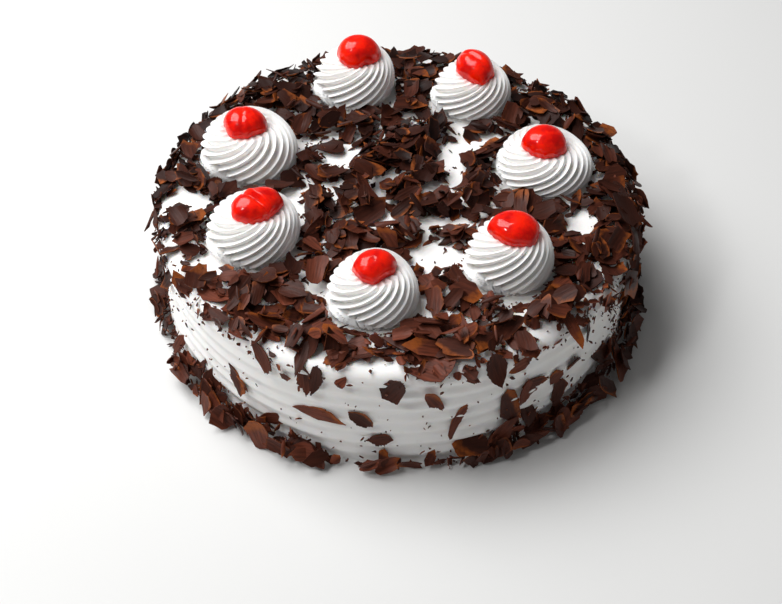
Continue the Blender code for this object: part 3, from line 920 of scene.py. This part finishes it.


# %% [markdown]
# The large shavings lie where the imported model has them fused to the cream, by the same rule and the same
# seeded draws, so the solid and the picture agree. The ones that stand out in the photograph are placed one
# by one, and the rest fill their zones evenly.

# %% Large shavings
SHAVING_SEED = 12
CANDIDATES = 10
CHOSEN_CORNERS = 8
OTHER_CORNERS = 6
CORNER_STRAY = 0.28
CORNER_REACH = (0.74, 1.12)
CURL_UP = (-0.04, 0.12)
CHOSEN_CURL_UP = (0.02, 0.12)
CHOSEN_ROLL = 8
FOOT_HEIGHT = 14 * MM
FOOT_SLOPE = math.radians(48)
FOOT_OUTSET = 2 * MM
FOOT_CLEARANCE = 0.4 * MM
ROSETTE_CLEARANCE = 1.6 * MM
SOLID_THICKNESS = 1.0 * MM
OTHER_WIDTHS = (0.45, 0.85)
LARGE_SHAPE_SEED = 5
LARGE_JAG = 0.11
LARGE_THICKNESS = (0.6, 1.1)
LARGE_ROLL = (0.0, 0.5)
# Distance along the outline, angle round the cake, length, width, turn from downhill, lift of the front end.
CHOSEN_SHAVINGS = {
    "left_plate": (106, -142, 24, 13, 100, 10),
    "left_lobe": (100, -145, 14, 11, 0, 18),
    "left_point": (107, -153, 17, 8, 60, 24),
    "heap_broad": (95, -128, 22, 16, 105, 8),
    "heap_low": (104, -131, 21, 12, 95, 14),
    "heap_end": (98, -120, 18, 13, 60, -12),
    "front_plate": (101, -101, 18, 15, 116, 12),
    "front_lobe": (99, -93, 14, 11, 30, 22),
    "edge_wide": (117, -121, 20, 7, 43, 5),
    "edge_spindle": (111, -112, 20, 6, 5, 6),
    "edge_right": (118, -108, 19, 7, -5, 4),
    "rim_big": (109, -82, 22, 19, 56, 8),
    "rim_drip": (128, -82, 18, 7, 30, -5),
    "rim_plate": (95, -69, 18, 13, 80, 10),
    "rim_broad": (104, -62, 21, 15, 87, 9),
    "rim_hanging": (116, -68, 17, 12, 8, 0),
    "right_spike": (113, -47, 22, 7, -9, 6),
    "right_plate": (102, -34, 24, 15, 57, 8),
    "right_edge": (109, -26, 18, 13, -47, 12),
    "side_spindle": (142, -108, 27, 8, 90, 3),
    "side_curl": (141, -98, 13, 9, 59, 8),
    "side_long": (144, -64, 27, 12, 15, 4),
    "side_sliver": (145, -77, 23, 5, -23, 8),
    "side_notch": (135, -58, 14, 8, 87, 6),
    "side_left": (143, -129, 19, 8, 36, 8),
    "left_spike": (124, -158, 17, 8, -20, 20),
}
# How many, the stretch of the outline, the angles, the lengths, and the largest tilt.
SHAVING_ZONES = {
    "foot_left": (7, (157, 168), (-156, -112), (13, 22), 26),
    "foot_right": (13, (150, 168), (-74, -12), (13, 22), 28),
    "foot_front": (2, (164, 169), (-108, -78), (9, 13), 18),
    "foot_behind": (10, (160, 170), (-10, 196), (12, 20), 24),
    "rim": (42, (98, 121), (-180, 180), (11, 19), 26),
    "right": (12, (100, 140), (-62, 28), (13, 20), 22),
    "middle": (42, (6, 64), (-180, 180), (10, 18), 18),
    "ring": (12, (64, 100), (-180, 180), (8, 15), 16),
    "side": (9, (122, 158), (-180, 180), (8, 15), 14),
}
# Bare cream that shows between the large shavings: angle and distance from the middle, and radius.
BARE_PATCHES = (
    (-69, 46, 14),
    (143, 38, 9),
    (172, 42, 9),
    (82, 57, 9),
    (43, 60, 6),
    (-52, 24, 7),
    (16, 17, 6),
    (-13, 89, 11),
    (-177, 102, 9),
    (-154, 104, 9),
    (-112, 112, 9),
    (-77, 82, 8),
    (-53, 92, 7),
    (82, 106, 8),
)


def shaving_corners(draw, count, length, width):
    corners = []
    for corner in range(count):
        around = TURN * (corner + draw.uniform(-CORNER_STRAY, CORNER_STRAY)) / count
        reach = draw.uniform(*CORNER_REACH)
        corners.append((0.5 * length * reach * math.cos(around), 0.5 * width * reach * math.sin(around)))
    return corners


def shaving_frame(along, angle_degrees, spin_degrees, tip_degrees, roll_degrees):
    """The shaving's own axes on the cream: X along its length, Z away from the cream."""
    point, normal, downhill = place_on_cream(along, angle_degrees)
    if along > WHOLE_RUN - FOOT_HEIGHT:
        out = normal
        up = -downhill
        normal = out * math.cos(FOOT_SLOPE) + up * math.sin(FOOT_SLOPE)
        downhill = out * math.sin(FOOT_SLOPE) - up * math.cos(FOOT_SLOPE)
        point = point + out * FOOT_OUTSET
    across = normal.cross(downhill)
    axes = Matrix((downhill, across, normal)).transposed().to_4x4()
    turned = (
        axes
        @ Matrix.Rotation(math.radians(spin_degrees), 4, "Z")
        @ Matrix.Rotation(math.radians(-tip_degrees), 4, "Y")
        @ Matrix.Rotation(math.radians(roll_degrees), 4, "X")
    )
    return Matrix.Translation(point) @ turned


def shaving_points(matrix, corners, length, cup):
    local = [Vector((u, v, cup * (2 * u / length) ** 2)) for u, v in corners]
    local.append(Vector((0.0, 0.0, 0.0)))
    return [matrix @ point for point in local]


def clear_of_rosettes(points):
    return not any(
        (point.to_2d() - middle).length < radius + ROSETTE_CLEARANCE
        for middle, radius in ROSETTE_PLACES
        for point in points
    )


def in_bare_patch(point):
    return point.z > CAKE_HEIGHT - SHOULDER_RADIUS and any(
        (point.to_2d() - on_circle(angle, distance * MM).to_2d()).length < radius * MM
        for angle, distance, radius in BARE_PATCHES
    )


def chosen_shavings(draw):
    for along, angle, length, width, spin, tip in CHOSEN_SHAVINGS.values():
        matrix = shaving_frame(along * MM, angle, spin, tip, draw.uniform(-CHOSEN_ROLL, CHOSEN_ROLL))
        corners = shaving_corners(draw, CHOSEN_CORNERS, length * MM, width * MM)
        cup = draw.uniform(*CHOSEN_CURL_UP) * length * MM
        yield matrix, corners, length * MM, width * MM, cup


def zone_shavings(draw):
    for count, run, angles, lengths, most_tilt in SHAVING_ZONES.values():
        middles = []
        for _ in range(count):
            tries = []
            while len(tries) < CANDIDATES:
                share = draw.random()
                inner, outer = run
                along = math.sqrt(inner**2 + share * (outer**2 - inner**2)) * MM
                angle = draw.uniform(*angles)
                point, _normal, _downhill = place_on_cream(along, angle)
                if in_bare_patch(point):
                    continue
                gap = min(((point - other).length for other in middles), default=1.0)
                tries.append((gap, along, angle, point))
            gap, along, angle, point = max(tries, key=lambda found: found[0])
            middles.append(point)
            length = draw.uniform(*lengths) * MM
            width = length * draw.uniform(*OTHER_WIDTHS)
            matrix = shaving_frame(
                along,
                angle,
                draw.uniform(0, 360),
                draw.uniform(-most_tilt, most_tilt),
                draw.uniform(-most_tilt, most_tilt),
            )
            corners = shaving_corners(draw, OTHER_CORNERS, length, width)
            cup = draw.uniform(*CURL_UP) * length
            yield matrix, corners, length, width, cup


def edge_through(corners, count, length, width, shape_draw):
    """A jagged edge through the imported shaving's corners, in shares of its half length and width."""
    angles = [math.atan2(2 * v / width, 2 * u / length) for u, v in corners]
    reach = [math.hypot(2 * u / length, 2 * v / width) for u, v in corners]
    return torn_edge(shape_draw, angles, reach, count, LARGE_JAG)


large = Heap(*LARGE_GRID)
place_draw = random.Random(SHAVING_SEED)
shape_draw = random.Random(LARGE_SHAPE_SEED)
for source in (chosen_shavings, zone_shavings):
    for matrix, corners, length, width, cup in source(place_draw):
        reached = shaving_points(matrix, corners, length, cup)
        lift = max(0.0, FOOT_CLEARANCE + SOLID_THICKNESS / 2 - min(point.z for point in reached))
        reached = [point + Vector((0, 0, lift)) for point in reached]
        if not clear_of_rosettes(reached):
            continue
        matrix = Matrix.Translation((0, 0, lift)) @ matrix
        edge = edge_through(corners, large.sides, length, width, shape_draw)
        thickness = shape_draw.uniform(*LARGE_THICKNESS) * MM
        roll = shape_draw.uniform(*LARGE_ROLL)
        shape = plate(shape_draw, edge, large.rings, length, width, thickness, cup, roll)
        large.add(matrix, shape, tone_with_painted_front_light(shape_draw, reached[-1]))
        fill_cells(matrix, length, width, chosen=source is chosen_shavings)
large_piece = large.join("chocolate_large_shavings")
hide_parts("cake")

# %% [markdown]
# Smaller flakes fall everywhere the baker threw them, and the bare patches are only where few landed. How
# much of the cream is covered is one function of place: nearly full in the middle and on the rim, with
# small gaps, thin on the front of the side, and thick again at the left and right of the foot, where what
# falls off gathers and spills a little way out.

# %% How thickly the cake is strewn
# Bare patches of the top that the flakes leave too: x, y and the two half widths, in millimetres.
BARE_SPOTS = (
    (-31, 23, 8, 6),
    (-41, 6, 11, 5),
    (8, 57, 10, 5),
    (46, 42, 7, 6),
    (16, -42, 15, 13),
    (15, -19, 8, 6),
    (16, 5, 7, 7),
    (87, -20, 8, 14),
    (100, 13, 7, 5),
    (-102, -6, 15, 9),
    (-106, -44, 8, 16),
    (-88, -46, 9, 10),
    (-108, 22, 6, 6),
    (-42, -104, 15, 7),
    (-23, -82, 7, 5),
    (19, -80, 11, 6),
    (55, -72, 11, 5),
    (65, -90, 9, 6),
    (15, 107, 5, 2),
    (66, 83, 5, 5),
    (86, 76, 7, 5),
    (-59, 90, 6, 3),
    (-9, -112, 12, 6),
    (-21, 35, 6, 4),
)
# What lands in a bare spot all the same, and how soft and how uneven the spot's edge is.
SPOT_COVER = 0.05
SPOT_EDGE = (0.75, 1.15)
SPOT_ROUGHNESS = 0.35
SPOT_GRAIN = 5 * MM
# Small gaps between the flakes in the middle: their size, where the noise makes one, how far out they go,
# and how bare they are.
GAP_SIZE = 11 * MM
GAP_EDGE = (0.08, 0.26)
GAP_RUN = (70 * MM, 90 * MM)
GAP_BARE = 0.95
# Where the thick strewing of the rim ends, and how much nearer the middle it ends in front.
RIM_END = (115 * MM, 129 * MM)
RIM_END_IN_FRONT = (6 * MM, 9 * MM)
FRONT = (-95, 75)
# The least cover of the side, what its heavy stretches add, and those stretches: a share, and the middle and
# half width in degrees.
SIDE_COVER = 0.015
SIDE_ADDED = 0.5
SIDE_HEAVY = ((0.8, 0, 36), (0.6, 90, 90), (0.3, 175, 30))
# The same for the heaps at the foot, which are higher there.
FOOT_COVER = 0.02
FOOT_ADDED = 0.98
FOOT_HEAVY = ((1.0, -132, 26), (1.0, -51, 27), (0.5, 70, 130))
FOOT_PILE = 6 * MM
HEAVY_PILE = 10 * MM
FOOT_SPILL = 7 * MM
# How often something lands at the foot, and how thick the line is where the side meets the ground.
FOOT_SHARE = 0.16
FOOT_LINE = 0.4


def between(value, low, high):
    """0 below low, 1 above high, and a smooth rise between them."""
    share = min(max((value - low) / (high - low), 0.0), 1.0)
    return share * share * (3 - 2 * share)


def near_angle(angle, middle, half_width):
    """1 at the middle angle, falling to 0 between 0.6 and 1.2 half widths from it, in degrees."""
    away = abs((angle - middle + 180) % 360 - 180)
    return 1 - between(away, 0.6 * half_width, 1.2 * half_width)


def heaviest(stretches, angle):
    """The largest share that any of the stretches has at an angle."""
    return max(share * near_angle(angle, middle, half_width) for share, middle, half_width in stretches)


def cover_on_top(along, point):
    """The share of the top that flakes hide at a place: all of it but for bare spots and gaps."""
    cover = 1.0
    for x, y, half_x, half_y in BARE_SPOTS:
        inside = math.hypot((point.x / MM - x) / half_x, (point.y / MM - y) / half_y)
        rough = SPOT_ROUGHNESS * noise.noise(point / SPOT_GRAIN)
        cover = min(cover, SPOT_COVER + between(inside + rough, *SPOT_EDGE))
    gap = between(noise.noise(point / GAP_SIZE), *GAP_EDGE) * (1 - between(along, *GAP_RUN))
    return min(cover, 1 - GAP_BARE * gap)


def cover_at(along, angle, point):
    """The share of the cream that flakes hide at a place."""
    foot_heavy = heaviest(FOOT_HEAVY, angle)
    top = cover_on_top(along, point) if point.z > CAKE_HEIGHT - 3 * MM else 1.0
    in_front = near_angle(angle, *FRONT)
    rim_fade = between(along, *(end - nearer * in_front for end, nearer in zip(RIM_END, RIM_END_IN_FRONT)))
    side = SIDE_COVER + SIDE_ADDED * heaviest(SIDE_HEAVY, angle)
    pile = FOOT_PILE + HEAVY_PILE * foot_heavy
    in_pile = between(along, WHOLE_RUN - pile - 4 * MM, WHOLE_RUN - pile + 5 * MM)
    low_down = between(along, WHOLE_RUN - 4 * MM, WHOLE_RUN - 1 * MM)
    on_line = low_down * (1 - between(along, WHOLE_RUN, WHOLE_RUN + 3 * MM))
    foot = (FOOT_COVER + FOOT_ADDED * foot_heavy) * in_pile + FOOT_LINE * on_line
    spilled = 1 - between(along, WHOLE_RUN + 2 * MM, WHOLE_RUN + FOOT_SPILL)
    return min(1.0, top * (1 - rim_fade) + side * rim_fade + foot) * spilled


def random_place(draw):
    """A place picked evenly over top, shoulder and side, and more often at the foot, where things gather."""
    if draw.random() < FOOT_SHARE:
        along = draw.uniform(WHOLE_RUN - FOOT_PILE - HEAVY_PILE, WHOLE_RUN + FOOT_SPILL)
        return along, draw.uniform(-180, 180)
    top_area = math.pi * FLAT_RUN**2
    side_area = TURN * CAKE_RADIUS * (WHOLE_RUN + FOOT_SPILL - FLAT_RUN)
    if draw.random() > top_area / (top_area + side_area):
        return draw.uniform(FLAT_RUN, WHOLE_RUN + FOOT_SPILL), draw.uniform(-180, 180)
    place = on_circle(draw.uniform(-180, 180), FLAT_RUN * math.sqrt(draw.random())).to_2d()
    for middle, radius in ROSETTE_PLACES:
        away = place - middle
        if away.length < radius:
            # What falls on a rosette slides off it.
            place = middle + away.normalized() * (radius + draw.uniform(1, 9) * MM)
    return min(place.length, FLAT_RUN), math.degrees(math.atan2(place.y, place.x))


print("cover in the middle, at the front of the side and at the right of the side:")
for along, angle in ((20, 90), (145, -90), (145, -15)):
    point = place_on_cream(along * MM, angle)[0]
    print(" ", along, "mm,", angle, "degrees:", round(cover_at(along * MM, angle, point), 2))

# %% [markdown]
# Settling one flake: the heights of the heap under its two ends and its two sides say how it must tilt and
# how far out it lies. At the foot it leans between the side and the ground. Where a flake doesn't fit,
# beside a rosette for instance, it is turned a few times before it is given up.

# %% Settling a flake
# How far from a flake's middle the heap under it is felt for, and where it has to be clear of rosettes and
# of the ground, in shares of its length and width.
TIP_REACH = 0.38
RIM_REACH = 0.38
# How high the heap may stand at a rosette's foot, and how steeply it may rise from there.
ROSETTE_FOOT_PILE = 2.0 * MM
PILE_SLOPE = 0.55
# How often a flake slides off a chosen shaving: from its face, which stays clean, and where edges overlap.
SLIDES_OFF_FACE = 0.9
SLIDES_OFF_EDGE = 0.3
# On the side, shavings stick in the cream at any slant, but hardly one on another.
SIDE_LOOSENESS = 1.5
SIDE_PILE = 3.5 * MM
MOST_SETTLED_TILT = math.radians(38)
TURNS_TRIED = 4
# At the foot a flake leans on the side, and farther out it lies flatter. Its slant in degrees: least, added.
FOOT_UPTURN = (20, 62)
RIM_ANGLES = np.linspace(0, TURN, 6, endpoint=False)
RIM_SHARES = [(RIM_REACH * math.cos(a), RIM_REACH * math.sin(a)) for a in RIM_ANGLES]


def resting_place(along, angle_degrees):
    """Where a flake may rest: on the cream, or leaning at the foot and on the ground before it."""
    point, normal, downhill = place_on_cream(min(along, WHOLE_RUN), angle_degrees)
    if along > WHOLE_RUN - FOOT_PILE:
        leaning = (along - WHOLE_RUN + FOOT_PILE) / (FOOT_PILE + FOOT_SPILL)
        upturn = math.radians(FOOT_UPTURN[0] + FOOT_UPTURN[1] * leaning)
        out, up = normal, -downhill
        point = point + out * max(along - WHOLE_RUN, 0.0)
        normal = out * math.cos(upturn) + up * math.sin(upturn)
        downhill = out * math.sin(upturn) - up * math.cos(upturn)
    return point, normal, downhill


def settled(draw, along, angle, length, width, thickness, looseness, most_below):
    """Where a flake comes to rest, or None where it would lie in a rosette or on too high a heap."""
    point, normal, downhill = resting_place(along, angle)
    across = normal.cross(downhill)
    base = np.array(point)
    gap = min((point.to_2d() - middle).length - radius for middle, radius in ROSETTE_PLACES)
    highest = min(PILE_LIMIT, ROSETTE_FOOT_PILE + PILE_SLOPE * max(gap, 0.0))
    if along > FLAT_RUN:
        looseness = looseness * SIDE_LOOSENESS
        highest = min(highest, SIDE_PILE + HEAVY_PILE * between(along, WHOLE_RUN - HEAVY_PILE, WHOLE_RUN))
    for _ in range(TURNS_TRIED):
        spin = draw.uniform(0, TURN)
        ahead = downhill * math.cos(spin) + across * math.sin(spin)
        aside = normal.cross(ahead)
        tip_step = np.array(ahead) * length * TIP_REACH
        side_step = np.array(aside) * width * TIP_REACH
        under = base + np.stack([tip_step, -tip_step, side_step, -side_step, 0 * tip_step])
        heights = pile_height(under, np.array(normal))
        front, back, left, right, centre = heights
        if centre > most_below:
            return None
        above = under[:, None, :] + np.array(normal) * MARCH[None, :, None]
        on_chosen = in_chosen[cells_of(above)].any(axis=1)
        slides = SLIDES_OFF_FACE if on_chosen[-1] else SLIDES_OFF_EDGE if on_chosen.any() else 0.0
        if draw.random() < slides:
            return None
        if heights.max() > highest or heights.min() == NOTHING_THERE:
            continue
        tip = math.atan2(front - back, 2 * TIP_REACH * length)
        lean = math.atan2(left - right, 2 * TIP_REACH * width)
        tip = min(max(tip, -MOST_SETTLED_TILT), MOST_SETTLED_TILT) + draw.gauss(0, looseness)
        lean = min(max(lean, -MOST_SETTLED_TILT), MOST_SETTLED_TILT) + draw.gauss(0, looseness)
        lie = max((front + back) / 2, (left + right) / 2, centre) + thickness / 2
        axes = Matrix((ahead, aside, normal)).transposed().to_4x4()
        matrix = (
            Matrix.Translation(point + normal * lie)
            @ axes
            @ Matrix.Rotation(-tip, 4, "Y")
            @ Matrix.Rotation(lean, 4, "X")
        )
        rim = np.array([matrix @ Vector((u * length, v * width, 0)) for u, v in RIM_SHARES])
        if not in_rosette[cells_of(rim)].any() and rim[:, 2].min() > FOOT_CLEARANCE:
            return matrix
    return None


# What one kind of shaving is like: the points and rings of its grid, how many are wanted, its length in
# millimetres, its width as a share of the length, its thickness in millimetres, its corners, how deep its
# teeth are, how pointed and how rolled it is, how loosely it lies in radians, the height of heap in
# millimetres that it may lie on, how much more it gathers where the cover is thick, and its least cover.
KINDS = {
    "chocolate_flakes": {
        "grid": (10, 2),
        "count": 2400,
        "lengths": (4.5, 9),
        "widths": (0.35, 0.85),
        "thickness": (0.45, 0.8),
        "corners": (4, 7),
        "jag": 0.18,
        "pointed": 0.4,
        "rolls": (0.1, 0.3, 0.6, 1.2),
        "looseness": 0.18,
        "most_below": 2.5,
        "gathers": 1.8,
        "least_cover": 0.0,
    },
    "chocolate_broad_flakes": {
        "grid": (15, 3),
        "count": 1100,
        "lengths": (9, 20),
        "widths": (0.45, 0.85),
        "thickness": (0.5, 1.0),
        "corners": (5, 9),
        "jag": 0.18,
        "pointed": 0.25,
        "rolls": (0.1, 0.2, 0.4, 0.6, 0.9),
        "looseness": 0.14,
        "most_below": 9,
        "gathers": 2.5,
        "least_cover": 0.0,
    },
    "chocolate_curls": {
        "grid": (14, 3),
        "count": 300,
        "lengths": (8, 17),
        "widths": (0.30, 0.50),
        "thickness": (0.5, 0.8),
        "corners": (6, 9),
        "jag": 0.08,
        "pointed": 0.9,
        "rolls": (1.2, 1.5, 1.9, 2.3),
        "looseness": 0.18,
        "most_below": 9,
        "gathers": 2.5,
        "least_cover": 0.0,
    },
    "chocolate_bits": {
        "grid": (7, 1),
        "count": 2400,
        "lengths": (1.8, 4.5),
        "widths": (0.35, 0.9),
        "thickness": (0.4, 0.8),
        "corners": (3, 5),
        "jag": 0.2,
        "pointed": 0.3,
        "rolls": (0.1, 0.5),
        "looseness": 0.25,
        "most_below": 2.5,
        "gathers": 1,
        "least_cover": 0.03,
    },
    "chocolate_crumbs": {
        "grid": CRUMB_GRID,
        "count": 2200,
        "lengths": (0.6, 1.6),
        "widths": (0.6, 1.0),
        "thickness": (0.4, 0.9),
        "corners": (3, 5),
        "jag": 0.1,
        "pointed": 0.0,
        "rolls": (0.1,),
        "looseness": 0.4,
        "most_below": 1.2,
        "gathers": 1,
        "least_cover": 0.16,
    },
}

# %% [markdown]
# A shaken heap sorts itself: flakes sink in and broad ones stay on top. So the flakes are strewn first, the
# broad ones and the curls on them, and the bits and crumbs last, only where little lies. They fill the
# gaps, and most of what falls on a chosen large shaving slides off, so that its face stays clean, as in the
# photograph.

# %% Strewing
STREW_SEED = 21
TRIES_EACH = 6
# On the side, what sticks everywhere is this share of a kind's least cover.
SIDE_LEAST = 0.3
# A shaving rolled tighter than this falls face down half of the time, and then lies a little higher.
TIGHT_ROLL = 1.0
FACE_DOWN = 0.5
FACE_DOWN_LIFT = 1 / 3


def strew(kind, seed):
    """Strews one kind of shaving until there are enough of it, or no room is left for more."""
    heap = Heap(*kind["grid"])
    draw = random.Random(seed)
    for _ in range(TRIES_EACH * kind["count"]):
        if len(heap.points) == kind["count"]:
            break
        along, angle = random_place(draw)
        point = place_on_cream(min(along, WHOLE_RUN), angle)[0]
        least_cover = kind["least_cover"] * (1.0 if along < FLAT_RUN else SIDE_LEAST)
        if draw.random() > max(cover_at(along, angle, point) ** kind["gathers"], least_cover):
            continue
        length = draw.uniform(*kind["lengths"]) * MM
        width = length * draw.uniform(*kind["widths"])
        thickness = draw.uniform(*kind["thickness"]) * MM
        most_below = kind["most_below"] * MM
        matrix = settled(draw, along, angle, length, width, thickness, kind["looseness"], most_below)
        if matrix is None:
            continue
        corners = draw.randint(*kind["corners"])
        edge = broken_outline(draw, corners, heap.sides, kind["jag"], kind["pointed"])
        curl = draw.uniform(*CURL_UP) * length
        roll = draw.choice(kind["rolls"])
        if roll > TIGHT_ROLL and draw.random() < FACE_DOWN:
            raised = Matrix.Translation((0, 0, width * FACE_DOWN_LIFT))
            matrix = matrix @ raised @ Matrix.Rotation(math.pi, 4, "X")
        shape = plate(draw, edge, heap.rings, length, width, thickness, curl, roll)
        heap.add(matrix, shape, tone_with_painted_front_light(draw, matrix.translation))
        fill_cells(matrix, length, width)
    return heap


for seed, (name, kind) in enumerate(KINDS.items(), start=STREW_SEED):
    strew(kind, seed).join(name)
